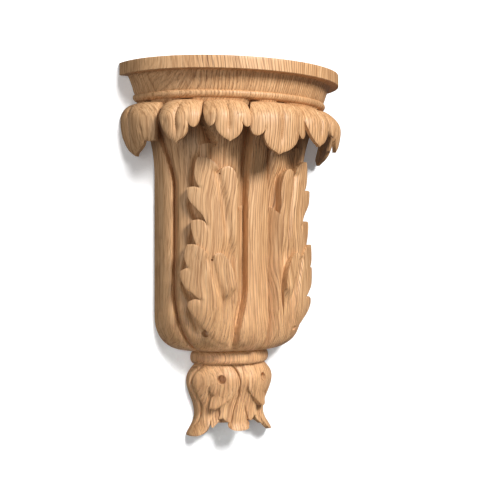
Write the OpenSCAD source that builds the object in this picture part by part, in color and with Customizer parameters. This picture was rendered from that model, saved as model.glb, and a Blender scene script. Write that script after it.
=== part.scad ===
// Carved oak corbel bracket: a moulded half-round shelf on a lobed bell dressed with
// acanthus leaves, ending in a ring and a leafy pendant. One solid piece of wood.
// The wall face lies in the plane y = 0 and the front points to -y.

/* [Overall] */
// Width across the top slab
width = 200; // [165:1:245]
// How far the top slab stands out from the wall
depth = 81; // [67:1:98]
// Height from the lowest foot to the top face
height = 303; // [262:1:364]

/* [Slab and moulding] */
// Thickness of the top slab
slab_t = 10; // [8:0.5:13]
// Width of the flat soffit under the slab's edge
soffit = 7.5; // [5:0.5:10]
// Height of the ogee under the slab
ogee_h = 14.7; // [12:0.1:18]
// Set-back of the ogee's foot from the slab's edge
ogee_in = 13.4; // [12:0.1:15]
// Height of the half-round bead
bead_h = 6; // [4:0.5:8]
// Set-back of the neck under the bead from the slab's edge
neck_in = 16; // [15:0.5:20]

/* [Bell] */
// Half width of the bell on its straight run
bell_a = 68; // [57:0.5:74]
// Depth of the bell on its straight run
bell_b = 48.5; // [41:0.5:56]
// Depth of the grooves between the lobes
groove = 3.4; // [2:0.1:5]
// How far the acanthus leaves stand out past the bell at the front
leaf_rise = 11; // [8:0.5:13]
// How far the acanthus leaves stand out past the bell at the sides
leaf_spread = 4; // [3:0.5:6]

/* [Crown of leaves] */
// Length of the longest crown leaf below the bead
crown_drop = 43; // [36:1:52]
// How far the crown leaves bulge out from the neck at the front
crown_out = 18.5; // [16:0.5:22]
// How far the crown leaves bulge out from the neck beside the wall
crown_side_out = 15.7; // [13:0.1:19]
// Thickness of a crown leaf
crown_t = 4.5; // [3.5:0.5:6]

/* [Ring and pendant] */
// Height of the half-round ring
ring_h = 11; // [9:0.5:13]
// Half width of the ring
ring_a = 36; // [30:0.5:42]
// Depth of the ring
ring_b = 27.5; // [23:0.5:32]
// Height of the pendant below the ring
pendant_h = 59; // [50:1:70]
// Diameter of the drilled eyes in the pendant and at the foot of the leaves
eye_d = 8; // [6:0.5:9.5]

/* [Hidden] */

// Levels from the top face down; the origin is at the middle of the height.
top_z = height / 2;
slab_z = top_z - slab_t;
ogee_z = slab_z - ogee_h;
bead_z = ogee_z - bead_h;
foot_z = -height / 2;
pendant_z = foot_z + pendant_h;
ring_z = pendant_z + ring_h;
bell_h = bead_z - ring_z;

// Plan sizes of the neck under the bead
neck_a = width / 2 - neck_in;
neck_b = depth - neck_in;

// Solids run this far past the wall face before they are cut off flat.
behind = 4;
// The carving runs this far up into the slab.
embed = 3;
// Plan angles of the two grooves on each side, measured from the front
front_groove = 9.5;
side_groove = 70;
// Share of the bell's height where the top flare ends and the foot's rounding begins
flare_from = 0.69;
round_from = 0.155;
// Radial step between the columns of the crown, in degrees
crown_step = 2.25;

function lerp(a, b, t) = a + (b - a) * t;
function clamp(t) = min(1, max(0, t));
function ramp(x, x0, x1) = let (c = clamp((x - x0) / (x1 - x0))) c * c * (3 - 2 * c);
function bump(x, at, w) = abs(x - at) < w ? 0.5 + 0.5 * cos(180 * (x - at) / w) : 0;
function plan(a, b, phi, z) = [a * sin(phi), -b * cos(phi), z];
function bell_at(share) = ring_z + bell_h * share;

// A ring of points: the half oval from wall to wall, then two points behind the wall face.
function ring(points) = let (l = points[0], r = points[len(points) - 1])
    concat([[l.x, behind, l.z]], points, [[r.x, behind, r.z]]);

// A closed solid through rings of equal length, first ring uppermost.
// The two ends close as fans about points inside the first and last rings.
module skin(rings, first, last) {
    n = len(rings);
    m = len(rings[0]);
    points = concat([for (r = rings) each r], [first, last]);
    sides = [for (i = [0 : n - 2], j = [0 : m - 1]) let (k = (j + 1) % m) each [
        [i * m + j, i * m + k, (i + 1) * m + k],
        [i * m + j, (i + 1) * m + k, (i + 1) * m + j]
    ]];
    upper = [for (j = [0 : m - 1]) [n * m, (j + 1) % m, j]];
    lower = [for (j = [0 : m - 1]) [n * m + 1, (n - 1) * m + j, (n - 1) * m + (j + 1) % m]];
    polyhedron(points, concat(sides, upper, lower), convexity = 8);
}

// Plan angles of the columns: closer together at the grooves, the same on both sides.
half_columns = [3, 6, 8, 9.5, 11, 14, 18, 23, 28, 33, 38, 43, 48, 54, 60, 65, 68, 70, 72, 76, 83, 90];
columns = concat([for (i = [len(half_columns) - 1 : -1 : 0]) -half_columns[i]], [0], half_columns);

// Profile of the bell: flared to the neck at the top, rounded in to the ring at the foot.
function flare(share) = pow(clamp((share - flare_from) / (1 - flare_from)), 2.2);
function rounding(share) = let (s = clamp((round_from - share) / round_from))
    pow(max(0, 1 - pow(s, 2.4)), 1 / 2.4);
function bell_size(body, neck, at_ring, share) =
    lerp(at_ring, body, rounding(share)) + (neck - body) * flare(share);

// Lobes and grooves of the bell as a share of the leaf's rise, by plan angle and height share.
function lobes(phi, share) = let (c = abs(phi))
    0.15 * max(0, 1 - pow(c / front_groove, 2))
    + 0.12 * ramp(c, front_groove, 24) * (1 - ramp(c, 50, side_groove))
    + 0.5 * ramp(c, front_groove, 30) * (1 - ramp(c, 36, 52)) * ramp(share, 0.78, 0.66) * ramp(share, 0.02, 0.2)
    - groove / leaf_rise * bump(c, front_groove, 3)
    - 2 * groove / leaf_rise * bump(c, side_groove, 6);

function bell_point(phi, share) = let (lift = lobes(phi, share) * (0.5 + 0.5 * rounding(share)))
    plan(bell_size(bell_a, neck_a, ring_a - 3, share) + leaf_spread * lift,
        bell_size(bell_b, neck_b, ring_b - 3, share) + leaf_rise * lift, phi, bell_at(share));

function oval(a, b, z) = ring([for (phi = columns) plan(a, b, phi, z)]);
function inset_oval(inset, z) = oval(width / 2 - inset, depth - inset, z);

// The top slab with its crisp edge
module slab() {
    edge = [for (phi = [-90 : 3 : 90]) plan(width / 2, depth, phi, 0)];
    translate([0, 0, slab_z])
        linear_extrude(height = slab_t)
            polygon([for (p = ring(edge)) [p.x, p.y]]);
}

// Ogee under the slab, half-round bead, and the lobed bell down to the ring
function ogee_ring(t) =
    inset_oval(lerp(soffit, ogee_in, 0.75 * sin(90 * t) + 0.25 * pow(t, 6)), lerp(slab_z, ogee_z, t));
function bead_ring(t) =
    inset_oval(ogee_in + (neck_in - ogee_in) * t - bead_h / 2 * sin(180 * t),
        lerp(ogee_z, bead_z, 0.5 - 0.5 * cos(180 * t)));

bell_shares = [1, 0.96, 0.92, 0.88, 0.84, 0.79, 0.74, 0.69, 0.62, 0.54, 0.46, 0.38, 0.3, 0.22,
    0.155, 0.12, 0.09, 0.06, 0.035, 0.015, 0];

module moulding_and_bell() {
    rings = concat(
        [inset_oval(soffit, slab_z + embed)],
        [for (i = [0 : 6]) ogee_ring(i / 6)],
        [for (i = [1 : 5]) bead_ring(i / 6)],
        [for (share = bell_shares) ring([for (phi = columns) bell_point(phi, share)])],
        [oval(ring_a - 6, ring_b - 6, ring_z - ring_h / 2)]
    );
    skin(rings, [0, 0, slab_z + embed], [0, 0, ring_z - ring_h / 2]);
}

// One acanthus tier: stations [plan angle, height share] along the toothed outer edge, each
// joined by a slanted ray to the tier's spine, where the leaf sinks into the bell.
function leaf_point(phi, share, lift) =
    plan(bell_size(bell_a, neck_a, ring_a - 3, share) + leaf_spread * lift,
        bell_size(bell_b, neck_b, ring_b - 3, share) + leaf_rise * lift, phi, bell_at(share));

module leaf_tier(edge, spine_from, spine_to, side) {
    n = len(edge);
    rings = [for (i = [0 : n - 1]) let (
        e = edge[i],
        s = lerp(spine_from, spine_to, i / (n - 1)),
        valley = e[2]
    ) [
        leaf_point(s[0], s[1], -0.5),
        leaf_point(s[0], s[1], 0.2),
        leaf_point(lerp(e[0], s[0], 0.8), lerp(e[1], s[1], 0.8), 0.7 - 0.15 * valley),
        leaf_point(lerp(e[0], s[0], 0.45), lerp(e[1], s[1], 0.45), 0.96 - 0.4 * valley),
        leaf_point(lerp(e[0], s[0], 0.12), lerp(e[1], s[1], 0.12), 1.02 - 0.2 * valley),
        leaf_point(e[0], e[1], 0.93),
        leaf_point(e[0], e[1], -0.25)
    ]];
    first = leaf_point(lerp(edge[0][0], spine_from[0], 0.5), edge[0][1], 0.1);
    last = leaf_point(lerp(edge[n - 1][0], spine_to[0], 0.5), edge[n - 1][1], 0.1);
    mirror([side, 0, 0]) skin(rings, first, last);
}

// Outer edge of each tier from its crest down: [plan angle, height share, 1 in a notch]
upper_edge = [
    [31, 0.735, 0.5], [35, 0.76, 0], [40, 0.773, 0], [45, 0.773, 0], [47, 0.74, 0], [47.5, 0.705, 0],
    [46, 0.675, 0.3], [44.3, 0.655, 1], [49, 0.658, 0.2], [53, 0.655, 0], [52.5, 0.63, 0],
    [51, 0.605, 0], [47, 0.58, 0.2], [42.5, 0.552, 0.6], [39, 0.51, 1], [43, 0.525, 0.6],
    [49, 0.528, 0], [50, 0.51, 0], [49, 0.475, 0], [46.5, 0.432, 0.5]
];
lower_edge = [
    [37, 0.385, 0.5], [41, 0.41, 0.2], [46, 0.43, 0], [53, 0.433, 0], [55, 0.405, 0], [55.2, 0.375, 0],
    [53, 0.34, 0.9], [58.5, 0.328, 0], [58, 0.3, 0], [55, 0.272, 0], [50, 0.248, 0.4],
    [44, 0.217, 1], [48, 0.22, 0.4], [52.5, 0.21, 0], [52.7, 0.19, 0], [50.3, 0.165, 0],
    [45, 0.13, 0.2], [38, 0.1, 0.6]
];

module acanthus(side) {
    leaf_tier(upper_edge, [26, 0.7], [30, 0.3], side);
    leaf_tier(lower_edge, [30, 0.33], [29, 0.09], side);
}

// Crown leaves: [plan angle of the tip, half width, drop as a share of the longest]
crown_leaves = [[0, 14.5, 1], [25.5, 11, 0.8], [48, 11.5, 0.82], [76, 16.5, 0.97]];
// Edge of one leaf from its tip to its side: [share of the half width, share of the drop]
leaf_edge = [[0, 1], [0.1, 0.94], [0.3, 0.88], [0.44, 0.74], [0.52, 0.6], [0.64, 0.71],
    [0.82, 0.74], [0.93, 0.6], [1, 0.14], [1.3, 0.12]];

function drop_at(phi) = let (c = abs(phi))
    max([for (leaf = crown_leaves) leaf[2] * lookup(abs(c - leaf[0]) / leaf[1], leaf_edge)]);

// A leaf leaves the neck under the bead, bulges out to the slab's edge and hangs down hollow.
module crown() {
    root_z = bead_z - 1.5;
    rings = [for (i = [0 : 180 / crown_step]) let (
        phi = -90 + i * crown_step,
        drop = drop_at(phi),
        bulge = lerp(crown_out, crown_side_out, ramp(abs(phi), 66, 88)),
        reach = bulge * (0.3 + 0.7 * ramp(drop, 0.1, 0.45)),
        tuck = lerp(2, 7, ramp(abs(phi), 60, 75))
    ) [
        plan(neck_a - 6, neck_b - 6, phi, root_z - 0.2),
        plan(neck_a, neck_b, phi, root_z),
        for (s = [0.12, 0.3, 0.5, 0.75, 1]) let (
            out = reach * (1 - pow(1 - s, 4)) - tuck * pow(s, 3) * ramp(drop, 0.1, 0.6)
        ) plan(neck_a + out, neck_b + out, phi, root_z - crown_drop * drop * pow(s, 1.25)),
        for (s = [0.97, 0.7, 0.4]) let (
            out = reach * (1 - pow(1 - s, 4)) - tuck * pow(s, 3) * ramp(drop, 0.1, 0.6) - crown_t
        ) plan(neck_a + out, neck_b + out, phi, root_z - 3 - (crown_drop * drop - 3) * pow(s, 1.1)),
        plan(neck_a - 12, neck_b - 12, phi, root_z - 6 - 4 * drop)
    ]];
    m = len(rings);
    first = plan(neck_a, neck_b, -92, root_z - 6);
    last = plan(neck_a, neck_b, 92, root_z - 6);
    skin([for (i = [m - 1 : -1 : 0]) rings[i]], last, first);
}

// Half-round ring between the bell and the pendant
module ring_band() {
    rings = [for (i = [0 : 8]) let (t = i / 8, swell = ring_h / 2 * (sin(180 * t) - 1))
        oval(ring_a + swell, ring_b + swell, ring_z - ring_h * (0.5 - 0.5 * cos(180 * t)))];
    skin(rings, [0, 0, ring_z], [0, 0, pendant_z]);
}

// Pendant: [share of its height from the top, half width, depth, depth of the valleys]
pendant_profile = [[-0.06, 30, 22, 0], [0.02, 34, 24.5, 0.3], [0.1, 38.5, 26.5, 0.7], [0.22, 40.5, 27.5, 1],
    [0.34, 39.5, 26.5, 1.2], [0.46, 36.5, 24.5, 1.8], [0.58, 34, 22.5, 2.6], [0.7, 33, 22, 3.6],
    [0.8, 35, 23, 4.6], [0.9, 39, 26, 5.4], [0.96, 41, 27.5, 5.8], [1, 39, 26, 6]];
pendant_columns = [for (i = [-18 : 18]) i * 5];

// Feet at the front and beside the wall reach the full height; between them the edge rises.
function foot_length(phi) = let (c = abs(phi)) 1 - 0.1 * bump(c, 20, 9) - 0.14 * bump(c, 48, 24);
function pendant_valley(phi) = let (c = abs(phi)) 0.55 * bump(c, 15, 7) + bump(c, 55, 12);

module pendant() {
    rings = [for (p = pendant_profile) ring([for (phi = pendant_columns) let (
        cut = p[3] * pendant_valley(phi),
        z = pendant_z - pendant_h * p[0] * (p[0] > 0.5 ? lerp(1, foot_length(phi), 2 * p[0] - 1) : 1)
    ) plan(p[1] - cut, p[2] - cut, phi, z)])];
    skin(rings, [0, 0, pendant_z + pendant_h * 0.06], [0, -2, foot_z + pendant_h * 0.3]);
}

// Drilled eyes: one each side of the pendant's front, one at the foot of each acanthus leaf
module eyes() {
    for (side = [-1, 1]) {
        translate([side * 21.5, -0.86 * ring_b, pendant_z - 0.2 * pendant_h])
            rotate([90, 0, side * 32])
                cylinder(d = eye_d, h = 3 * eye_d, center = true, $fn = 14);
        translate(leaf_point(side * 37.5, 0.083, 0.35))
            sphere(d = 1.3 * eye_d, $fn = 14);
    }
}

// Everything below the slab, carved from the same wood
module carving() {
    resize([2 * neck_a + 2 * neck_in - 0.4, 0, 0])
        difference() {
            union() {
                moulding_and_bell();
                crown();
                for (side = [0, 1]) acanthus(side);
                ring_band();
                pendant();
            }
            eyes();
        }
}

// The whole corbel, cut off flat where it meets the wall
module corbel() {
    color("burlywood")
        difference() {
            union() {
                slab();
                carving();
            }
            translate([-width, 0, -height])
                cube([2 * width, depth, 2 * height]);
        }
}

corbel();
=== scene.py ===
"""The finished look of the carved oak corbel: its full carving, its oak and the light on it."""

import math

import bmesh
import bpy
import numpy as np
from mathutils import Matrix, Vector
from mathutils.geometry import delaunay_2d_cdt


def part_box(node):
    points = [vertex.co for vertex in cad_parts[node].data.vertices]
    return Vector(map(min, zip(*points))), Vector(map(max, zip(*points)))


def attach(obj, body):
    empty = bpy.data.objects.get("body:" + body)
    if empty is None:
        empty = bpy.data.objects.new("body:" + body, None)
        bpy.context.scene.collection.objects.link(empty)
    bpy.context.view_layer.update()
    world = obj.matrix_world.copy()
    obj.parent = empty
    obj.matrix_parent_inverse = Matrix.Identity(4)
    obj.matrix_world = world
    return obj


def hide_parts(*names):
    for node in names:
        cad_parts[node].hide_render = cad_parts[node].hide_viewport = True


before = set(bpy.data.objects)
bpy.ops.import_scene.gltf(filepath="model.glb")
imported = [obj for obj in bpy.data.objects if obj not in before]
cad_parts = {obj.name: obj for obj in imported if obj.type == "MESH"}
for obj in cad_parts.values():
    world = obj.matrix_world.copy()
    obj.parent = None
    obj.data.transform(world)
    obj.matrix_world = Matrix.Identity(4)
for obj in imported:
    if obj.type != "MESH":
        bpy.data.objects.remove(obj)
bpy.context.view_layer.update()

# ---------------------------------------------------------------- sizes, in millimetres
MM = 0.001
LOW, HIGH = (np.array(corner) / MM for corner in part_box("corbel"))
TOP = HIGH[2]
FOOT = LOW[2]
HALF_WIDTH = HIGH[0] - 0.1
DEPTH = 80.9

SLAB_T = 10
SLAB_Z = TOP - SLAB_T
SOFFIT = 7.5
OGEE_Z = SLAB_Z - 14.7
OGEE_IN = 13.4
BEAD_H = 6
BEAD_Z = OGEE_Z - BEAD_H
NECK_IN = 16
NECK_A = HALF_WIDTH - NECK_IN
NECK_B = DEPTH - NECK_IN

BELL_A = 68
BELL_B = 48.5
PENDANT_Z = FOOT + 59
RING_Z = PENDANT_Z + 11
RING_A = 36
RING_B = 27.5
BELL_H = BEAD_Z - RING_Z
LEAF_RISE = 11
LEAF_SPREAD = 4

BEHIND = 4  # every shell runs this far past the wall face before it is cut off flat
SLIVER = 0.003  # edges shorter than this are closed up
CREASE_ANGLE = 38  # faces that meet more sharply than this show an edge


# ---------------------------------------------------------------- small helpers
def ramp(x, x0, x1):
    """0 at x0, 1 at x1, smooth between."""
    t = np.clip((np.asarray(x, float) - x0) / (x1 - x0), 0, 1)
    return t * t * (3 - 2 * t)


def lerp(a, b, t):
    return a + (b - a) * t


def oval(a, b, phi, z):
    """Points on an oval of half width a and depth b, at plan angle phi from the front."""
    phi, z, a, b = np.broadcast_arrays(np.radians(phi), z, a, b)
    return np.stack([a * np.sin(phi), -b * np.cos(phi), z], axis=-1)


def along(x, y, line, width):
    """A soft line: 1 on the polyline, fading to 0 over width, with its strength at each point.

    line is a list of (x, y, strength).
    """
    best = np.zeros(np.shape(x))
    for (x0, y0, s0), (x1, y1, s1) in zip(line, line[1:]):
        dx, dy = x1 - x0, y1 - y0
        t = np.clip(((x - x0) * dx + (y - y0) * dy) / (dx * dx + dy * dy), 0, 1)
        far = np.hypot(x - x0 - t * dx, y - y0 - t * dy)
        best = np.maximum(best, lerp(s0, s1, t) * np.exp(-((far / width) ** 2)))
    return best


# ---------------------------------------------------------------- mesh building
def mesh_object(name, verts, faces):
    mesh = bpy.data.meshes.new(name)
    mesh.from_pydata((np.asarray(verts) * MM).tolist(), [], [list(map(int, f)) for f in faces])
    obj = bpy.data.objects.new(name, mesh)
    bpy.context.collection.objects.link(obj)
    work = bmesh.new()
    work.from_mesh(mesh)
    bmesh.ops.recalc_face_normals(work, faces=work.faces)
    bmesh.ops.triangulate(work, faces=[f for f in work.faces if len(f.verts) > 4])
    work.to_mesh(mesh)
    work.free()
    return obj


def skin(name, rings, first, last):
    """A closed solid through equal rings, with a fan about a point at each end."""
    rings = np.asarray(rings)
    n, m = rings.shape[:2]
    verts = np.vstack([rings.reshape(-1, 3), first, last])
    faces = []
    for i in range(n - 1):
        for j in range(m):
            k = (j + 1) % m
            faces.append((i * m + j, i * m + k, (i + 1) * m + k, (i + 1) * m + j))
    for j in range(m):
        k = (j + 1) % m
        faces.append((n * m, k, j))
        faces.append((n * m + 1, (n - 1) * m + j, (n - 1) * m + k))
    return mesh_object(name, verts, faces)


def wall_ring(points):
    """Half an oval from wall to wall, closed by two points behind the wall face."""
    left, right = points[0].copy(), points[-1].copy()
    left[1] = right[1] = BEHIND
    return np.vstack([[left], points, [right]])


def smooth_outline(points, step):
    """A closed outline through points (x, y) with rounded runs between sharp points (x, y, 1)."""
    n = len(points)
    sharp = [len(p) > 2 for p in points]
    xy = np.array([p[:2] for p in points], float)
    out = []
    for i in range(n):
        p1, p2 = xy[i], xy[(i + 1) % n]
        p0 = 2 * p1 - p2 if sharp[i] else xy[i - 1]
        p3 = 2 * p2 - p1 if sharp[(i + 1) % n] else xy[(i + 2) % n]
        reach = np.linalg.norm(p2 - p1)
        m1 = (p2 - p0) / (np.linalg.norm(p2 - p0) + 1e-9) * reach
        m2 = (p3 - p1) / (np.linalg.norm(p3 - p1) + 1e-9) * reach
        for t in np.linspace(0, 1, max(2, int(reach / step) + 1), endpoint=False):
            a = 2 * t**3 - 3 * t**2 + 1
            b = t**3 - 2 * t**2 + t
            c = -2 * t**3 + 3 * t**2
            d = t**3 - t**2
            out.append(a * p1 + b * m1 + c * p2 + d * m2)
    return np.array(out)


def edge_distance(points, outline):
    """Distance of each point from the outline, and whether it lies inside."""
    a, b = outline, np.roll(outline, -1, axis=0)
    d = b - a
    rel = points[:, None, :] - a[None]
    t = np.clip((rel * d).sum(-1) / ((d * d).sum(-1) + 1e-12), 0, 1)
    far = np.linalg.norm(rel - t[..., None] * d, axis=-1).min(axis=1)
    x, y = points[:, :1], points[:, 1:2]
    spans = (a[:, 1] > y) != (b[:, 1] > y)
    with np.errstate(divide="ignore", invalid="ignore"):
        cross = x < (b[:, 0] - a[:, 0]) * (y - a[:, 1]) / (b[:, 1] - a[:, 1]) + a[:, 0]
    inside = (spans & cross).sum(axis=1) % 2 == 1
    return far, inside


def plate(name, outline, outer, inner, gap):
    """A closed leaf: the outline filled with a fine mesh, drawn once on each face.

    outer(p, d) and inner(p, d) turn flat points p, at distance d from the edge, into 3-D ones.
    """
    lo, hi = outline.min(axis=0), outline.max(axis=0)
    ys = np.arange(lo[1], hi[1], gap * 0.87)
    grid = []
    for i, y in enumerate(ys):
        xs = np.arange(lo[0] + (i % 2) * gap / 2, hi[0], gap)
        grid.append(np.stack([xs, np.full(len(xs), y)], axis=1))
    grid = np.vstack(grid)
    far, inside = edge_distance(grid, outline)
    grid = grid[inside & (far > 0.55 * gap)]
    points = [Vector(p) for p in np.vstack([outline, grid]).tolist()]
    loop = list(range(len(outline)))
    flat, _, tris, _, _, _ = delaunay_2d_cdt(points, [], [loop], 1, 1e-6)
    flat = np.array([tuple(p) for p in flat])
    far, _ = edge_distance(flat, outline)
    n = len(flat)
    uses = {}
    for t in tris:
        for a, b in zip(t, t[1:] + t[:1]):
            uses[(min(a, b), max(a, b))] = uses.get((min(a, b), max(a, b)), []) + [(a, b)]
    faces = [tuple(t) for t in tris] + [tuple(n + i for i in reversed(t)) for t in tris]
    for pair in uses.values():
        if len(pair) == 1:
            a, b = pair[0]
            faces.append((b, a, n + a, n + b))
    return mesh_object(name, np.vstack([outer(flat, far), inner(flat, far)]), faces)


def box_solid(name, low, high):
    corners = [(x, y, z) for x in (low[0], high[0]) for y in (low[1], high[1]) for z in (low[2], high[2])]
    faces = [(0, 1, 3, 2), (4, 6, 7, 5), (0, 4, 5, 1), (2, 3, 7, 6), (0, 2, 6, 4), (1, 5, 7, 3)]
    return mesh_object(name, corners, faces)


def combine(base, other, operation):
    """Joins other to base, or cuts it away, as one watertight solid."""
    step = base.modifiers.new("combine", "BOOLEAN")
    step.operation = operation
    step.solver = "MANIFOLD"
    step.object = other
    bpy.context.view_layer.objects.active = base
    bpy.ops.object.modifier_apply(modifier=step.name)
    bpy.data.objects.remove(other)


# ---------------------------------------------------------------- slab, mouldings and bell
def half_columns():
    """Plan angles from the front to the wall, closest together in the grooves."""
    phi = [0.0]
    while phi[-1] < 90:
        near_front = 5 < phi[-1] < 13
        near_side = 50 < phi[-1] < 84
        phi.append(phi[-1] + (0.45 if near_front else 0.8 if near_side else 1.4))
    phi[-1] = 90.0
    return phi


def columns():
    half = half_columns()
    return np.array([-p for p in reversed(half[1:])] + half)


def bell_share(z):
    return (np.asarray(z, float) - RING_Z) / BELL_H


def rounding(z):
    s = np.clip((0.155 - bell_share(z)) / 0.155, 0, 1)
    return np.maximum(0, 1 - s**2.4) ** (1 / 2.4)


def bell_size(body, neck, at_ring, z):
    flare = np.clip((bell_share(z) - 0.69) / 0.31, 0, 1) ** 2.2
    return lerp(at_ring, body, rounding(z)) + (neck - body) * flare


def bell_surface(phi, z, lift):
    """The point at plan angle phi and height z, lifted off the bell by a share of the leaf's rise."""
    a = bell_size(BELL_A, NECK_A, RING_A - 3, z) + LEAF_SPREAD * lift
    b = bell_size(BELL_B, NECK_B, RING_B - 3, z) + LEAF_RISE * lift
    return oval(a, b, phi, z)


def front_groove(z, side):
    """Plan angle of the groove beside the front lobe: it spreads at the foot, more on the left."""
    foot = np.where(side < 0, 6.5, 1.0)
    return 8.7 - 2.4 * ramp(z, 45, 95) + foot * ramp(z, -25, -76)


def side_groove(z):
    """Plan angle of the groove beside the wall lobe."""
    return 65 + 13 * ramp(z, 50, 105) - 9 * ramp(z, -35, -80)


def stalk_lift(phi, z):
    """Lobes and grooves of the bell under the leaves."""
    c = np.abs(phi)
    z = np.broadcast_to(np.asarray(z, float), c.shape)
    g, s = front_groove(z, phi), side_groove(z)
    front = c - g
    side = c - s
    lobe = 0.2 * np.sin(np.pi * np.clip(front / (s - g), 0, 1)) ** 0.6
    wall = 0.34 * np.sin(np.pi / 2 * np.clip(side / 11, 0, 1)) - 0.14
    middle = 0.1 + 0.12 * np.cos(np.pi / 2 * np.clip(c / g, 0, 1))
    lift = np.where(front < 0, middle, np.where(side < 0, lobe, wall))
    inward, outward = np.clip(1 + front / 0.9, 0, 1), np.clip(1 - (front - 2.2) / 6.5, 0, 1)
    front_cut = np.where(front < 0, inward, outward**2)
    inward, outward = np.clip(1 + side / 5.5, 0, 1), np.clip(1 - side / 2.6, 0, 1)
    side_cut = np.where(side < 0, inward**1.8, outward**1.2)
    depth = 0.45 + 0.55 * rounding(z)
    lift = lift - 0.6 * front_cut * depth - 1.25 * side_cut * depth
    hollow = along(c * LEAF_SCALE, z, BESIDE_LEAF, 3.6)
    tongue = np.where(phi > 0, 0.5, 0.22)
    lift = lift - 0.66 * hollow - tongue * along(c * LEAF_SCALE, z, BESIDE_TONGUE, 3.0)
    brow = c - 31 - 0.44 * (z - 86)  # a sharp-edged hollow above the leaf, up to the crown
    brow_cut = np.where(brow > 0, np.exp(-brow / 5.5), np.clip(1 + brow / 0.8, 0, 1))
    lift = lift - 1.2 * brow_cut * ramp(z, 84, 88)
    wall_lobe = np.where(phi > 0, ramp(c, 60, 68), 0)  # a little lower on the right
    lift = lift - 0.8 * wall_lobe * ramp(z, -82, -60) * ramp(z, 90, 70)
    crease = 0.07 * along(c, z, [(1.0, 90, 1), (0.5, 70, 0.9), (1.5, 42, 0)], 0.9)
    return (lift - crease) * (0.3 + 0.7 * rounding(z))


LEAF_SCALE = 1.05  # millimetres along the bell for each degree of plan angle


def laid_flat(line, scale):
    """A line of (plan angle, height, strength) with its angles turned into millimetres."""
    return [(a * scale, z, w) for a, z, w in line]


# The bell falls away beside the toothed edge of the leaf and beside its inner tongue
BESIDE_TONGUE = laid_flat([(15.5, 36, 1), (15.8, 50, 1), (18, 62, 0.9), (21, 70, 0)], LEAF_SCALE)
BESIDE_LEAF = laid_flat([
    (36, 82, 0), (45, 72, 0.8), (47, 58, 1), (45.5, 47, 1), (49, 38, 1), (43, 24, 1), (48, 10, 1),
    (49, 0, 0.8), (53, -10, 0.9), (56, -26, 1), (47, -38, 1), (49, -50, 1), (43.5, -61, 0.8),
], LEAF_SCALE)


def body_shell():
    phi = columns()
    rings = []

    def level(inset, z):
        rings.append(wall_ring(oval(HALF_WIDTH - inset, DEPTH - inset, phi, z)))

    level(0.5, TOP)
    level(0.12, TOP - 0.15)
    level(0, TOP - 0.5)
    for t in (0.25, 0.5, 0.75):
        level(0, lerp(TOP, SLAB_Z, t))
    level(0, SLAB_Z + 0.4)
    level(0.4, SLAB_Z)
    level(SOFFIT - 0.4, SLAB_Z)
    level(SOFFIT, SLAB_Z - 0.4)
    for t in np.linspace(0.06, 1, 14):
        curve = 0.75 * math.sin(math.pi / 2 * t) + 0.25 * t**6
        level(lerp(SOFFIT, OGEE_IN, curve), lerp(SLAB_Z, OGEE_Z, t))
    for t in np.linspace(0, 1, 13)[1:-1]:
        swell = BEAD_H / 2 * math.sin(math.pi * t)
        height = lerp(OGEE_Z, BEAD_Z, 0.5 - 0.5 * math.cos(math.pi * t))
        level(lerp(OGEE_IN, NECK_IN, t) - swell, height)
    bell_z = np.linspace(BEAD_Z, RING_Z + 0.02 * BELL_H, 118)
    for z in list(bell_z) + [RING_Z + h * BELL_H for h in (0.013, 0.007, 0.003, 0)]:
        rings.append(wall_ring(bell_surface(phi, z, stalk_lift(phi, z))))
    level_z = RING_Z - 5
    rings.append(wall_ring(oval(RING_A - 6, RING_B - 6, phi, level_z)))
    return skin("corbel_oak", rings, [0, 0, TOP], [0, 0, level_z])


# ---------------------------------------------------------------- acanthus leaves
# Outlines as (plan angle, height), sharp where a third number stands.
BLADE = [
    (31.8, 62.5, 1), (31.5, 67.5), (35.5, 72.6), (41, 75.3), (45.4, 75.2, 1), (47.6, 68), (47.7, 61),
    (46.4, 55.5), (44.3, 51, 1), (48.5, 52), (53.4, 51.2, 1), (52.9, 46), (51.2, 40.5), (47.2, 35.6),
    (42.2, 29.5), (38.9, 21.2, 1), (41, 24.4), (45, 26), (50, 25.2, 1), (50.2, 20), (49, 13.5),
    (46.5, 6, 1), (46, -6), (45, -30), (40, -52), (34, -70), (24, -73), (17, -62), (11.6, -34),
    (9.6, 0), (9.4, 25), (9.6, 34), (9.2, 38.5, 1), (13.2, 36.5), (16.6, 31.5, 1), (17.3, 40),
    (17.2, 50), (17.8, 58.5), (20.2, 65.4), (23.7, 68.3), (27.5, 67.2), (30.6, 64.6),
]
LOWER = [
    (36.6, -5.5, 1), (38.6, -2), (42.5, 3.2), (47.5, 6.2), (53.2, 6.4, 1), (54.9, 0.5), (55.1, -5.5),
    (52.6, -12.3, 1), (55.5, -13), (58.8, -15.2, 1), (58.2, -21), (55, -26.8), (50, -31.5),
    (43.8, -37.6, 1), (47.5, -36.8), (52, -38.6, 1), (53, -42), (50.4, -48), (45.4, -54.6),
    (41.4, -60.4), (39.6, -64.4), (39.4, -69), (37, -74), (27, -75), (22.5, -62), (21, -50), (20, -38),
    (19.6, -31.8, 1), (20.2, -21), (22.6, -11), (26.6, -3), (30.6, -0.3), (34.6, -2.2),
]
STUB = [
    (31.6, 86.6, 1), (36.5, 86.4), (41.8, 85.6, 1), (43, 80), (42.4, 72), (38, 66), (33, 70), (31, 78),
]
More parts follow.
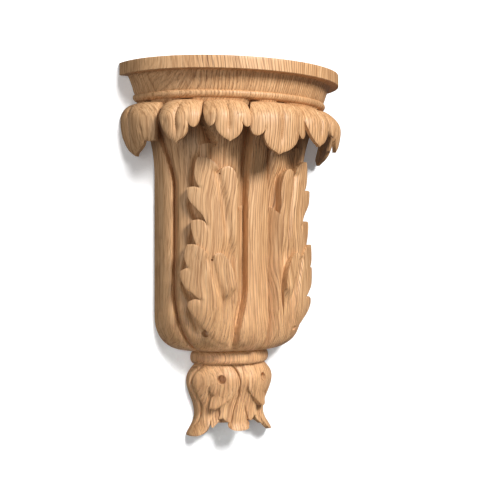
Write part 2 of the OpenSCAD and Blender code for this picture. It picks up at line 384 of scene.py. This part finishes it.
# Creases as (line of plan angle, height and strength, width, depth)
BLADE_VALLEYS = [
    ([(31.6, 63.5, 1.1), (29.8, 55, 1), (25.8, 30, 1), (22.5, 4, 0.7), (20, -24, 0.3)], 2.4, 0.27),
    ([(44.3, 51, 1), (42.8, 47, 0)], 1.6, 0.07),
    ([(38.9, 21.5, 1), (36.5, 15, 0)], 1.6, 0.08),
    ([(37, 66, 0), (35.5, 50, 0.8), (30, 20, 0.8), (26, -4, 0)], 3.4, 0.05),
    ([(17.5, 24, 0), (16.8, 8, 0.8), (17.2, -12, 0.9), (18.6, -42, 1.3), (16.6, -60, 1.8), (13, -76, 2)],
     1.7, 0.15),
]
LOWER_VALLEYS = [
    ([(36.6, -5.5, 1.1), (34.6, -15, 1), (28.5, -38, 0.9), (26, -62, 0)], 2.2, 0.29),
    ([(19.6, -31.8, 1.3), (22.4, -38, 1), (23.5, -52, 0.6), (24, -64, 0)], 1.7, 0.2),
    ([(52.6, -12.3, 1), (50.5, -17, 0)], 1.6, 0.07),
    ([(43.8, -37.6, 1), (41.5, -43, 0)], 1.6, 0.08),
    ([(44, -6, 0), (42, -22, 0.8), (34, -48, 0.8), (31, -64, 0)], 3.4, 0.05),
]


def valleys(phi, z, lines):
    return sum(depth * along(phi, z, line, width) for line, width, depth in lines)


def blade_lift(phi, z, side):
    """How far the leaf stands off the bell: deep in the front groove, full at the toothed edge."""
    inner = phi - front_groove(z, side) + 8.7
    base = -0.46 + 1.16 * ramp(inner, 10.2, 19.2) + 0.34 * ramp(phi, 20, 46)
    under = 0.34 * ramp(z, 14, -6) * ramp(phi, 16, 20) * ramp(phi, 34, 26)
    foot = ramp(z, -78, -40)
    outward = 0.3 * ramp(phi, 42, 56) * (1 if side > 0 else 0)
    return (base - under + outward) * (0.42 + 0.58 * foot) - valleys(phi, z, BLADE_VALLEYS)


def lower_lift(phi, z, side):
    """The lower tier stands a step in front of the upper one."""
    base = blade_lift(phi, z, side) + valleys(phi, z, BLADE_VALLEYS)
    inner_edge = ramp(phi, 32, 24) * ramp(z, -42, -26)
    step = 0.2 * ramp(z, -64, -34) + 0.38 * inner_edge - 0.06 * ramp(z, -50, -66)
    return base + step - valleys(phi, z, LOWER_VALLEYS)


def stub_lift(phi, z, side):
    return 0.08 + 0.42 * ramp(phi, 31, 39)


def leaf_plate(name, outline, lift, side, gap=1.0):
    flat = smooth_outline([(p[0] * LEAF_SCALE, *p[1:]) for p in outline], 0.8)

    def outer(p, d):
        phi, z = p[:, 0] / LEAF_SCALE, p[:, 1]
        rolled = 0.035 * np.exp(-d / 0.45)
        return bell_surface(side * phi, z, lift(phi, z, side) - rolled)

    def inner(p, d):  # undercut: the back of the leaf is narrower than its face
        phi = p[:, 0] / LEAF_SCALE
        phi = phi - 4.5 * ramp(phi, 30, 46) + (2.5 if side < 0 else 0.5) * ramp(phi, 26, 17)
        return bell_surface(side * phi, p[:, 1], -1.3)

    return plate(name, flat, outer, inner, gap)


def acanthus():
    for side in (-1, 1):
        tag = "left" if side < 0 else "right"
        yield leaf_plate("blade_" + tag, BLADE, blade_lift, side)
        yield leaf_plate("lower_" + tag, LOWER, lower_lift, side)
        yield leaf_plate("stub_" + tag, STUB, stub_lift, side)


# ---------------------------------------------------------------- crown of hanging leaves
# (plan angle of the middle, half width in mm, length along the leaf, bulge, curl and skew of the tip)
CROWN = [
    (3.2, 27.2, 52.7, 17.8, 2.2, -5.0),
    (26.1, 19.4, 43.9, 18.0, 2.0, -3.6),
    (48.4, 17.6, 45.0, 18.4, 4.2, 3.2),
    (83.5, 30.0, 52.7, 15.4, 8.5, 0),
]
# Half of a leaf's outline, tip to root: share of the half width and share of the length
CROWN_HALF = [
    (0, 1, 1), (0.09, 0.968), (0.27, 0.925), (0.45, 0.84), (0.54, 0.73), (0.515, 0.635, 1),
    (0.63, 0.71), (0.78, 0.73), (0.91, 0.67), (0.985, 0.54), (1.0, 0.4), (0.96, 0.16), (0.8, -0.16, 1),
]
# The same without a side lobe, where the leaf goes under its neighbour
CROWN_PLAIN = [
    (0, 1, 1), (0.09, 0.968), (0.27, 0.925), (0.45, 0.85), (0.63, 0.74), (0.79, 0.6), (0.91, 0.45),
    (0.97, 0.3), (0.95, 0.12), (0.8, -0.16, 1),
]
# The leaf by the wall, whole: its front is a square-ended lobe and its back runs into the wall
CROWN_WALL = [
    (-0.02, 1, 1), (0.08, 0.962), (0.2, 0.91), (0.27, 0.84), (0.31, 0.77), (0.42, 0.69), (0.58, 0.58),
    (0.74, 0.44), (0.86, -0.16, 1), (-0.84, -0.16, 1), (-0.93, 0.12), (-0.97, 0.4), (-0.92, 0.62),
    (-0.87, 0.785, 1), (-0.7, 0.8), (-0.56, 0.785, 1), (-0.48, 0.85), (-0.32, 0.91), (-0.14, 0.955),
]
CROWN_ROLL = 15.5  # radius of the leaf's turn-over at the top
CROWN_ROOT = BEAD_Z - 1.2
RIGHT_TURN = 2.6  # carved by hand: the right side's leaves sit this many degrees further round
RIGHT_SKEW = 2


def crown_profile(q, bulge):
    """Distance out from the neck, drop below the root and outward normal, q along the leaf."""
    turn = CROWN_ROLL * math.pi / 2
    angle = np.clip(q / CROWN_ROLL, 0, math.pi / 2)
    out = np.where(q < 0, q, CROWN_ROLL * np.sin(angle))
    drop = CROWN_ROLL * (1 - np.cos(angle)) * 0.95
    past = np.clip(q - turn, 0, None)
    drop = drop + past
    out = out + (bulge - CROWN_ROLL) * ramp(q, 8, turn + 6)
    return out, drop, np.sin(angle), np.cos(angle)


def crown_leaf(name, middle, half, length, bulge, curl, skew, side):
    """One leaf, rolled over at the top and hanging. The front leaf and the one by the wall differ."""
    front, beside_front, by_wall = middle < 10, 10 < middle < 40, middle > 70
    if side > 0 and not front:
        bulge += 1.5 if beside_front else 0 if by_wall else 0.7
        middle, skew = middle + RIGHT_TURN, skew - RIGHT_SKEW
    a, b, turn = NECK_A + 14, NECK_B + 14, math.radians(middle)
    per_degree = math.hypot(a * math.cos(turn), b * math.sin(turn)) * math.pi / 180
    away = CROWN_HALF if front or beside_front else CROWN_PLAIN
    toward = [(1.12 * x, *y) for x, *y in CROWN_PLAIN] if beside_front and side > 0 else CROWN_HALF
    whole = CROWN_WALL if by_wall else away + [(-x, y, *s) for x, y, *s in reversed(toward[1:])]
    wide = 1.2 if front else 1  # the front leaf is wider to the right of its crease
    flat = smooth_outline([(x * half * (wide if x > 0 else 1), y * length, *s) for x, y, *s in whole], 0.8)

    def place(p, sink):
        share = p[:, 1] / length
        out, drop, nx, nz = crown_profile(p[:, 1], bulge)
        across = np.abs(p[:, 0]) / half
        belly = np.clip(0.3 + share * 2, 0, 1)
        out = out - curl * np.clip((share - 0.45) / 0.55, 0, 1) ** 2
        pillow = 4.6 * across**2.6 * belly
        nick = np.hypot((np.abs(p[:, 0]) - 0.515 * half) / 1.5, (p[:, 1] - 0.63 * length) / 2.5)
        pillow += 0.6 * np.exp(-(nick**2))
        line = 0.8 * np.sin(share * 7 + middle)
        crease = 2.2 * np.exp(-np.abs(p[:, 0] - line) / 1.7)
        pillow += crease * ramp(share, 0.12, 0.4) * ramp(share, 0.92, 0.7)
        out = out - nx * (sink + pillow)
        z = CROWN_ROOT - drop - nz * (sink + 0.9 * pillow)
        phi = middle + (p[:, 0] + skew * np.clip(share, 0, 1) ** 0.9) / per_degree
        return oval(NECK_A + out, NECK_B + out, side * phi, z)

    def outer(p, d):
        return place(p, 0.4 * np.exp(-d / 0.6))

    def inner(p, d):
        thick = lerp(7.0, 4.4, ramp(p[:, 1] / length, 0, 0.6))
        return place(p, thick - 0.9 * np.exp(-d / 1.2))

    return plate(name, flat, outer, inner, 1.0)


def crown():
    for i, leaf in enumerate(CROWN):
        for side in ((1,) if i == 0 else (-1, 1)):
            yield crown_leaf(f"crown_{i}_{side}", *leaf, side)


# ---------------------------------------------------------------- ring and pendant
RING_PROUD = 2.2  # how much further the ring stands out in front than at its sides


def ring_band():
    phi = np.linspace(-90, 90, 91)
    rings = []
    for t in np.linspace(0, 1, 15):
        swell = 4.6 * (math.sin(math.pi * t) ** 0.75 - 1)
        z = lerp(RING_Z, PENDANT_Z, 0.5 - 0.5 * math.cos(math.pi * t))
        rings.append(wall_ring(oval(RING_A + swell, RING_B + RING_PROUD + swell, phi, z)))
    return skin("ring", rings, [0, 0, RING_Z], [0, 0, PENDANT_Z])


# Share of the pendant's height from its top: half width and depth
PENDANT_SHARE = [-0.06, 0.02, 0.08, 0.16, 0.26, 0.38, 0.5, 0.6, 0.7, 0.78, 0.86, 0.93, 1.0]
PENDANT_A = [30, 33.5, 37.6, 40.2, 40.6, 38.6, 35.4, 33.6, 32.8, 33.4, 36.0, 39.2, 41.2]
PENDANT_B = [22, 24.0, 26.6, 28.2, 28.2, 26.2, 23.4, 21.8, 21.0, 21.2, 22.6, 25.0, 27.0]
PENDANT_H = PENDANT_Z - FOOT
PLAN_SCALE = 0.6  # millimetres along the pendant for each degree of plan angle


def pendant_surface(phi, z, lift):
    share = (PENDANT_Z - np.asarray(z, float)) / PENDANT_H
    spots = [share + d for d in (-0.05, -0.025, 0, 0.025, 0.05)]
    a = sum(np.interp(spot, PENDANT_SHARE, PENDANT_A) for spot in spots) / 5
    b = sum(np.interp(spot, PENDANT_SHARE, PENDANT_B) for spot in spots) / 5
    return oval(a + lift, b + lift, phi, z)


def front_curve(z):
    """Plan angle of the curved groove between a petal and the front strip."""
    below = [90, 92, 95, 98.6, 104, 109.5, 120, 129, 138, 144, 152]
    angle = [24, 19.4, 13, 8.7, 5.8, 4.5, 4.5, 9.5, 13, 16, 17]
    return np.interp(-np.asarray(z, float), below, angle)


def rim_curve(share):
    """Plan angle of the groove beside the rounded rim by the wall."""
    return np.interp(share, [0, 0.12, 0.28, 0.45, 0.55, 0.66, 0.8, 1], [63, 73, 77, 71, 66, 66, 73, 84])


def pendant_core():
    """The body under the petals: bulb, waist and rounded rims, hollowed below the petals."""
    phi = np.linspace(-90, 90, 151)
    c = np.abs(phi)
    rings = []
    for share in np.linspace(-0.06, 0.83, 54):
        z = PENDANT_Z - PENDANT_H * share
        rim = rim_curve(share)
        groove = 2.5 * np.exp(-(((c - rim) / 2.1) ** 2))
        front = front_curve(z)
        strip = (2.1 + 4.0 * ramp(c, front - 2.5, front)) * ramp(c, front + 3.4, front + 1)
        strip = strip * np.where(phi < 0, 1, 0.15)
        hollow = (3.4 * ramp(c, 53, 46) - strip * ramp(c, 40, 20)) * ramp(z, -108, -120)
        hollow += 2.4 * ramp(c, 60, 50) * ramp(z, -132, -142)
        lift = -groove - strip - np.maximum(hollow, 0) - 0.5 * ramp(c, rim, 90)
        rings.append(wall_ring(pendant_surface(phi, z, lift)))
    return skin("pendant", rings, [0, 0, PENDANT_Z + 3], [0, -2, PENDANT_Z - PENDANT_H * 0.74])


# Outlines on the pendant as (plan angle, height), sharp where a third number stands
PETAL = [
    (38.6, -104, 1), (41, -107.6), (43.8, -110.4), (44.8, -113.4), (43.2, -116.2), (39.4, -117.9, 1),
    (43.6, -119.4), (46, -122.6), (47.6, -128.2, 1), (43.5, -129.3), (38, -128.8), (30.5, -126.6),
    (22.3, -122.8), (14, -118.6), (8, -113.8), (6.2, -108), (7.6, -103), (10.6, -98.4), (14.8, -94.8),
    (20.5, -91.4), (30, -90), (44, -92), (46, -99),
]
MIDDLE_HALF = [
    (18, -90, 1), (7, -98.6), (3.6, -106), (3.4, -113), (3.8, -120), (8.2, -128), (11, -134),
    (13.6, -139.5), (16.6, -140.8), (18.2, -143), (16.6, -145.4), (11, -147.2),
]
MIDDLE = MIDDLE_HALF + [(0, -148)] + [(-a, *rest) for a, *rest in reversed(MIDDLE_HALF)]
INNER_LEAFLET = [
    (5.4, -115, 1), (20, -119), (30.5, -125), (32, -130), (31.4, -133), (34.4, -137.6, 1), (30, -137.8),
    (27.4, -136.6, 1), (24, -138.8), (18, -140.6), (14.4, -139, 1), (12.6, -134), (10, -129), (5.8, -121),
]
OUTER_LEAFLET = [
    (36, -122, 1), (50, -126), (50.5, -134), (49.4, -138.4), (47, -139.6, 1), (46.4, -142),
    (42.6, -144.6), (38, -142.6), (34.4, -140.4, 1), (31, -132),
]
FOOT_PLATE = [
    (47, -124, 1), (47.6, -132), (48.2, -139), (48.6, -143.6), (51.4, -147.6), (58, -150.2),
    (68, -151.3), (82, -151.3), (92, -150), (92.5, -130, 1), (78, -120),
]


def pendant_plate(name, outline, side, lift, under, gap=0.8):
    flat = smooth_outline([(p[0] * PLAN_SCALE, *p[1:]) for p in outline], 0.6)

    def outer(p, d):
        phi, z = p[:, 0] / PLAN_SCALE, p[:, 1]
        return pendant_surface(side * phi, z, lift(phi, z) - 0.4 * np.exp(-d / 0.45))

    def inner(p, d):
        phi, z = p[:, 0] / PLAN_SCALE, p[:, 1]
        return pendant_surface(side * phi, z, np.minimum(under(phi, z), lift(phi, z) - 2))

    return plate(name, flat, outer, inner, gap)


def deep(phi, z):
    """How far under the surface a pendant leaf's back lies: thinner at the free foot."""
    return -9 + 4.5 * ramp(z, -132, -146)


def petal_lift(phi, z):
    """Flush with the bulb round the eye, standing off it towards the notched lower edge."""
    proud = 0.45 + 0.5 * ramp(z, -96, -110) * ramp(phi, 44, 28) + 3.0 * ramp(z, -116, -131)
    buried = 1.6 * ramp(phi, 26, 46) * ramp(z, -109, -101) + 1.2 * ramp(z, -94.5, -91)
    return proud - buried - 0.8 * ramp(phi, front_curve(z) + 7, front_curve(z))


def middle_lift(phi, z):
    """The fluted front strip and its foot, with a groove along each edge."""
    lines = 0.3 * np.cos(phi * np.pi / 2.6) * ramp(z, -95, -103) * ramp(z, -147, -139)
    foot = 1.4 * ramp(z, -118, -132) - 1.3 * ramp(z, -136, -144)
    edge = 1.5 * ramp(np.abs(phi), 7, 20) * ramp(z, -132, -142)
    gutter = 1.8 * np.exp(-(((np.abs(phi) - front_curve(z)) / 1.5) ** 2))
    flush = ramp(phi, 1, 3.5) * ramp(z, -134, -120)  # the right petal grows out of the front strip
    return -1.2 + lines + foot - edge - gutter * (1 - flush) + (1.5 - foot) * flush


def inner_leaflet_lift(phi, z):
    crease = 0.7 * np.exp(-(((phi - 22) / 2.0) ** 2))
    return -0.8 + 1.0 * ramp(z, -126, -137) - crease - 0.8 * ramp(phi, 14, 8)


def outer_leaflet_lift(phi, z):
    return -3.0 + 1.6 * ramp(z, -130, -142)


# The rim's groove goes on down the foot
FOOT_CREASE = laid_flat([
    (71.5, -118.5, 1.7), (66.3, -124.6, 1.7), (66.3, -131, 1.4), (72, -139, 1), (80, -144, 0),
], PLAN_SCALE)


def foot_lift(phi, z):
    crease = 1.5 * along(phi * PLAN_SCALE, z, FOOT_CREASE, 0.9)
    edge = 2.2 * ramp(phi, 56, 47) * ramp(z, -146, -132)
    return -0.1 - 0.6 * ramp(z, -128, -120) - edge - crease - 0.5 * ramp(phi, 70, 90)


def pendant_parts():
    yield pendant_core()
    yield pendant_plate("middle", MIDDLE, 1, middle_lift, deep)
    for side in (-1, 1):
        yield pendant_plate(f"foot_{side}", FOOT_PLATE, side, foot_lift, deep)
        yield pendant_plate(f"outer_leaflet_{side}", OUTER_LEAFLET, side, outer_leaflet_lift, deep)
        yield pendant_plate(f"inner_leaflet_{side}", INNER_LEAFLET, side, inner_leaflet_lift, deep)
        yield pendant_plate(f"petal_{side}", PETAL, side, petal_lift, deep)


# Holes as (plan angle, height, radius, depth)
PETAL_EYE = (34.5, -104.3, 3.9, 8.0)
FOOT_PIT_LEFT = (43.4, -64.6, 3.3, 6.0)
FOOT_PIT_RIGHT = (36.5, -63.0, 2.2, 3.5)
UPPER_NICK = (31.6, 62.4, 0.8, 2.0)
LOWER_NICK = (36.6, -6, 1.0, 2.4)


def pits(corbel):
    """Drilled eyes in the petals, a pit at the foot of each leaf and small nicks at its eyes."""
    for side in (-1, 1):
        foot_pit = FOOT_PIT_LEFT if side < 0 else FOOT_PIT_RIGHT
        for phi, z, radius, depth in (PETAL_EYE, foot_pit, UPPER_NICK, LOWER_NICK):
            yield drill(corbel, side * phi, z, radius, depth)


def drill(corbel, phi, z, radius, depth):
    """A round-ended plug, sunk square to the wood's surface."""
    start = Vector(oval(130, 110, phi, z).tolist())
    toward = Vector((0, 0, z)) - start
    _, spot, _, _ = corbel.ray_cast(start * MM, toward.normalized())
    spot = np.array(spot) / MM
    out = -np.array(toward.normalized())
    across = np.array([-out[1], out[0], 0])
    up = np.array([0, 0, 1.0])
    turns = np.linspace(0, 2 * np.pi, 29)[:-1]
    rings = []
    for reach, share in ((6, 1), (1.5, 1), (-depth * 0.6, 0.97), (-depth * 0.9, 0.8), (-depth, 0.5)):
        middle, r = spot + out * reach, radius * share
        rings.append([middle + r * (across * math.cos(t) + up * math.sin(t)) for t in turns])
    return skin("drill", rings, spot + out * 6, spot - out * depth)


# ---------------------------------------------------------------- put together
def drop_slivers(mesh):
    """Closes up the edges and faces of no size that cutting leaves behind."""
    work = bmesh.new()
    work.from_mesh(mesh)
    bmesh.ops.remove_doubles(work, verts=work.verts, dist=SLIVER * MM)
    work.to_mesh(mesh)
    work.free()


def carve():
    corbel = body_shell()
    for shell in [*acanthus(), *crown(), ring_band(), *pendant_parts()]:
        combine(corbel, shell, "UNION")
    for pit in pits(corbel):
        combine(corbel, pit, "DIFFERENCE")
    wall = box_solid("wall_side", (-300, 0, -300), (300, 100, 300))
    combine(corbel, wall, "DIFFERENCE")
    mesh = corbel.data
    drop_slivers(mesh)
    mesh.shade_smooth()
    mesh.set_sharp_from_angle(angle=math.radians(CREASE_ANGLE))
    return corbel


corbel = carve()
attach(corbel, "root")
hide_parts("corbel")


# ---------------------------------------------------------------- oak
class Nodes:
    """Short calls for building one material's nodes."""

    def __init__(self, name):
        self.mat = bpy.data.materials.new(name)
        self.mat.use_nodes = True
        self.tree = self.mat.node_tree
        self.shader = self.tree.nodes["Principled BSDF"]
        where = self.tree.nodes.new("ShaderNodeTexCoord").outputs
        self.place, self.facing = where["Object"], where["Normal"]

    def link(self, value, socket):
        if isinstance(value, bpy.types.NodeSocket):
            self.tree.links.new(value, socket)
        else:
            socket.default_value = value

    def math(self, kind, *values):
        node = self.tree.nodes.new("ShaderNodeMath")
        node.operation = kind
        for value, socket in zip(values, node.inputs):
            self.link(value, socket)
        return node.outputs[0]

    def vector(self, kind, *values):
        node = self.tree.nodes.new("ShaderNodeVectorMath")
        node.operation = kind
        for value, socket in zip(values, node.inputs):
            self.link(value, socket)
        return node.outputs["Value" if kind in ("LENGTH", "DOT_PRODUCT") else "Vector"]

    def noise(self, place, stretch, detail=2.0, rough=0.5):
        node = self.tree.nodes.new("ShaderNodeTexNoise")
        self.link(self.vector("MULTIPLY", place, stretch), node.inputs["Vector"])
        node.inputs["Scale"].default_value = 1
        node.inputs["Detail"].default_value = detail
        node.inputs["Roughness"].default_value = rough
        return node.outputs["Fac"]

    def spread(self, value, low, high, to_low=0.0, to_high=1.0):
        node = self.tree.nodes.new("ShaderNodeMapRange")
        node.interpolation_type = "SMOOTHSTEP"
        for socket, number in zip(node.inputs, (value, low, high, to_low, to_high)):
            self.link(number, socket)
        return node.outputs[0]

    def mix(self, share, a, b, kind="MIX"):
        node = self.tree.nodes.new("ShaderNodeMix")
        node.data_type = "RGBA"
        node.blend_type = kind
        for name, value in (("Factor_Float", share), ("A_Color", a), ("B_Color", b)):
            socket = next(i for i in node.inputs if i.identifier == name)
            self.link(value, socket)
        return next(o for o in node.outputs if o.identifier == "Result_Color")


LIGHT_OAK = (0.66, 0.385, 0.19, 1)
WARM_OAK = (0.60, 0.335, 0.155, 1)
PALE_OAK = (0.78, 0.51, 0.28, 1)
RING_OAK = (0.34, 0.165, 0.066, 1)
LINE_OAK = (0.2, 0.09, 0.036, 1)
PORE_OAK = (0.2, 0.095, 0.04, 1)
RINGS_PER_METRE = 430
HEART = (0.42, 0.02, 0)  # where the growth rings have their middle


def oak_material():
    """Natural oak, fibres upright: growth rings, pores, fine fibres, flecks and slow colour changes."""
    n = Nodes("oak")

    # The grain leans and wavers a little instead of running dead straight
    lean = n.math("MULTIPLY", n.math("SUBTRACT", n.noise(n.place, (11, 11, 10), 1, 0.5), 0.5), 0.026)
    waver = n.math("MULTIPLY", n.math("SUBTRACT", n.noise(n.place, (45, 45, 32), 1, 0.5), 0.5), 0.004)
    shift = n.tree.nodes.new("ShaderNodeCombineXYZ")
    n.link(n.math("ADD", lean, waver), shift.inputs[0])
    place = n.vector("ADD", n.place, shift.outputs[0])

    # Growth rings, cut so that they run from front to back and wander a little up the board
    wander = n.noise(place, (8, 8, 2.2), 2, 0.5)
    ripple = n.noise(place, (95, 95, 5), 2, 0.6)
    from_heart = n.vector("LENGTH", n.vector("MULTIPLY", n.vector("SUBTRACT", place, HEART), (1, 1, 0.02)))
    radius = n.math("ADD", from_heart, n.math("MULTIPLY", wander, 0.016))
    radius = n.math("ADD", radius, n.math("MULTIPLY", ripple, 0.0055))
    ring = n.math("FRACT", n.math("MULTIPLY", radius, RINGS_PER_METRE))
    early = n.math("MULTIPLY", n.spread(ring, 0.0, 0.12), n.spread(ring, 0.42, 0.2))
    strength = n.spread(n.noise(place, (26, 26, 3), 1), 0.35, 0.65, 0.65, 1.0)
    early = n.math("MULTIPLY", early, strength)
    aside = n.vector("DOT_PRODUCT", place, (1, 0, 0.35))  # plainer wood low on the left
    early = n.math("MULTIPLY", early, n.spread(aside, -0.03, 0.005, 0.6, 1.0))
    across = n.math("ABSOLUTE", n.vector("DOT_PRODUCT", n.facing, (1, 0.1, 0)))
    early = n.math("MULTIPLY", early, n.spread(across, 0.55, 0.95, 1.0, 0.3))
    upward = n.math("ABSOLUTE", n.vector("DOT_PRODUCT", n.facing, (0, 0, 1)))
    early = n.math("MULTIPLY", early, n.spread(upward, 0.3, 0.75, 1.0, 0.25))

    # Fibres, pores and pale flecks, all drawn out along the grain
    sideways = n.math("ABSOLUTE", n.vector("DOT_PRODUCT", n.facing, (1, 0, 0)))

    def streaks(across, up, detail, rough):
        """Noise drawn out along the grain, that also holds together where the carving turns over."""
        seen_from_front = n.noise(place, (across, across * 0.16, up), detail, rough)
        seen_from_side = n.noise(place, (across * 0.16, across, up), detail, rough)
        share = n.spread(sideways, 0.7, 0.9)
        change = n.math("SUBTRACT", seen_from_side, seen_from_front)
        return n.math("ADD", seen_from_front, n.math("MULTIPLY", share, change))

    fibre = streaks(1100, 24, 3, 0.75)
    coarse = streaks(300, 7, 2, 0.5)
    pores = n.spread(n.noise(place, (1250, 1250, 48), 1, 0.4), 0.56, 0.66)
    pores = n.math("MULTIPLY", pores, n.spread(early, 0.0, 0.8, 0.35, 1.0))
    flecks = n.spread(n.noise(place, (420, 150, 55), 1, 0.5), 0.63, 0.74)
    slow = n.noise(place, (11, 11, 3), 1, 0.5)

    colour = n.mix(n.spread(slow, 0.3, 0.7), LIGHT_OAK, WARM_OAK)
    colour = n.mix(early, colour, LINE_OAK)
    colour = n.mix(n.spread(fibre, 0.48, 0.63, 0.0, 0.85), colour, RING_OAK)
    colour = n.mix(n.spread(fibre, 0.47, 0.32, 0.0, 0.65), colour, PALE_OAK)
    colour = n.mix(n.spread(coarse, 0.5, 0.7, 0.0, 0.2), colour, RING_OAK)
    colour = n.mix(n.spread(coarse, 0.48, 0.3, 0.0, 0.15), colour, PALE_OAK)
    colour = n.mix(n.math("MULTIPLY", flecks, 0.22), colour, PALE_OAK)
    colour = n.mix(n.math("MULTIPLY", pores, 0.7), colour, PORE_OAK)
    n.link(colour, n.shader.inputs["Base Color"])

    rough = n.math("ADD", n.spread(fibre, 0.3, 0.7, 0.44, 0.58), n.math("MULTIPLY", pores, 0.2))
    n.link(rough, n.shader.inputs["Roughness"])
    n.shader.inputs["Specular IOR Level"].default_value = 0.4

    height = n.math("SUBTRACT", n.math("MULTIPLY", fibre, 0.35), n.math("MULTIPLY", pores, 0.8))
    height = n.math("SUBTRACT", height, n.math("MULTIPLY", early, 0.3))
    bump = n.tree.nodes.new("ShaderNodeBump")
    bump.inputs["Strength"].default_value = 0.55
    bump.inputs["Distance"].default_value = 0.00022
    n.link(height, bump.inputs["Height"])
    n.link(bump.outputs["Normal"], n.shader.inputs["Normal"])
    return n.mat


corbel.data.materials.clear()
corbel.data.materials.append(oak_material())


# ---------------------------------------------------------------- wall, light and camera
WALL_GAP = 0.0008  # the stage's wall stands this far behind the corbel's back


def stage_wall():
    """A plain pale wall, clear from behind so that the corbel's back can be looked at."""
    mesh = bpy.data.meshes.new("wall")
    corners = [(x, WALL_GAP, z) for x, z in ((-3, -2), (3, -2), (3, 2), (-3, 2))]
    mesh.from_pydata(corners, [], [(0, 1, 2, 3)])
    wall = bpy.data.objects.new("wall", mesh)
    bpy.context.collection.objects.link(wall)
    mat = bpy.data.materials.new("wall_white")
    mat.use_nodes = True
    nodes, link = mat.node_tree.nodes, mat.node_tree.links.new
    shader = nodes["Principled BSDF"]
    shader.inputs["Base Color"].default_value = (0.95, 0.95, 0.95, 1)
    shader.inputs["Roughness"].default_value = 0.9
    shader.inputs["Emission Color"].default_value = (1, 1, 1, 1)
    shader.inputs["Emission Strength"].default_value = 0.12
    clear = nodes.new("ShaderNodeBsdfTransparent")
    behind = nodes.new("ShaderNodeNewGeometry")
    swap = nodes.new("ShaderNodeMixShader")
    link(behind.outputs["Backfacing"], swap.inputs[0])
    link(shader.outputs[0], swap.inputs[1])
    link(clear.outputs[0], swap.inputs[2])
    link(swap.outputs[0], nodes["Material Output"].inputs["Surface"])
    mesh.materials.append(mat)
    wall.visible_diffuse = False
    wall.visible_glossy = False


def area_light(name, place, target, size, power, spread=180):
    data = bpy.data.lights.new(name, "AREA")
    data.size = size
    data.energy = power
    data.spread = math.radians(spread)
    lamp = bpy.data.objects.new(name, data)
    lamp.location = place
    lamp.rotation_euler = (Vector(target) - Vector(place)).to_track_quat("-Z", "Y").to_euler()
    bpy.context.collection.objects.link(lamp)


def lights():
    area_light("key", (0.26, -1.28, 0.86), (0, 0, 0), 0.42, 33.5)
    area_light("fill", (-1.2, -1.0, 0.1), (0, 0, 0), 0.9, 7.0)
    area_light("low", (-0.05, -1.4, -0.45), (0, 0, -0.079), 0.1, 0.015, 6)
    world = bpy.data.worlds.new("studio")
    bpy.context.scene.world = world
    world.use_nodes = True
    world.node_tree.nodes["Background"].inputs["Color"].default_value = (1, 1, 1, 1)
    world.node_tree.nodes["Background"].inputs["Strength"].default_value = 0.14


CAMERA_TURN = 31  # degrees to the corbel's left of its front
CAMERA_AWAY = 0.867
CAMERA_ASIDE = 0.0147
CAMERA_UP = 0.0016


def camera():
    turn = math.radians(CAMERA_TURN)
    toward = Vector((-math.sin(turn), -math.cos(turn), 0))
    right = Vector((math.cos(turn), -math.sin(turn), 0))
    data = bpy.data.cameras.new("camera")
    data.sensor_width = 36
    data.lens = 75
    data.shift_y = 0.011
    cam = bpy.data.objects.new("camera", data)
    cam.location = toward * CAMERA_AWAY + right * CAMERA_ASIDE + Vector((0, 0, CAMERA_UP))
    cam.rotation_euler = (-toward).to_track_quat("-Z", "Y").to_euler()
    bpy.context.collection.objects.link(cam)
    bpy.context.scene.camera = cam


stage_wall()
lights()
camera()
bpy.context.scene.view_settings.view_transform = "Standard"
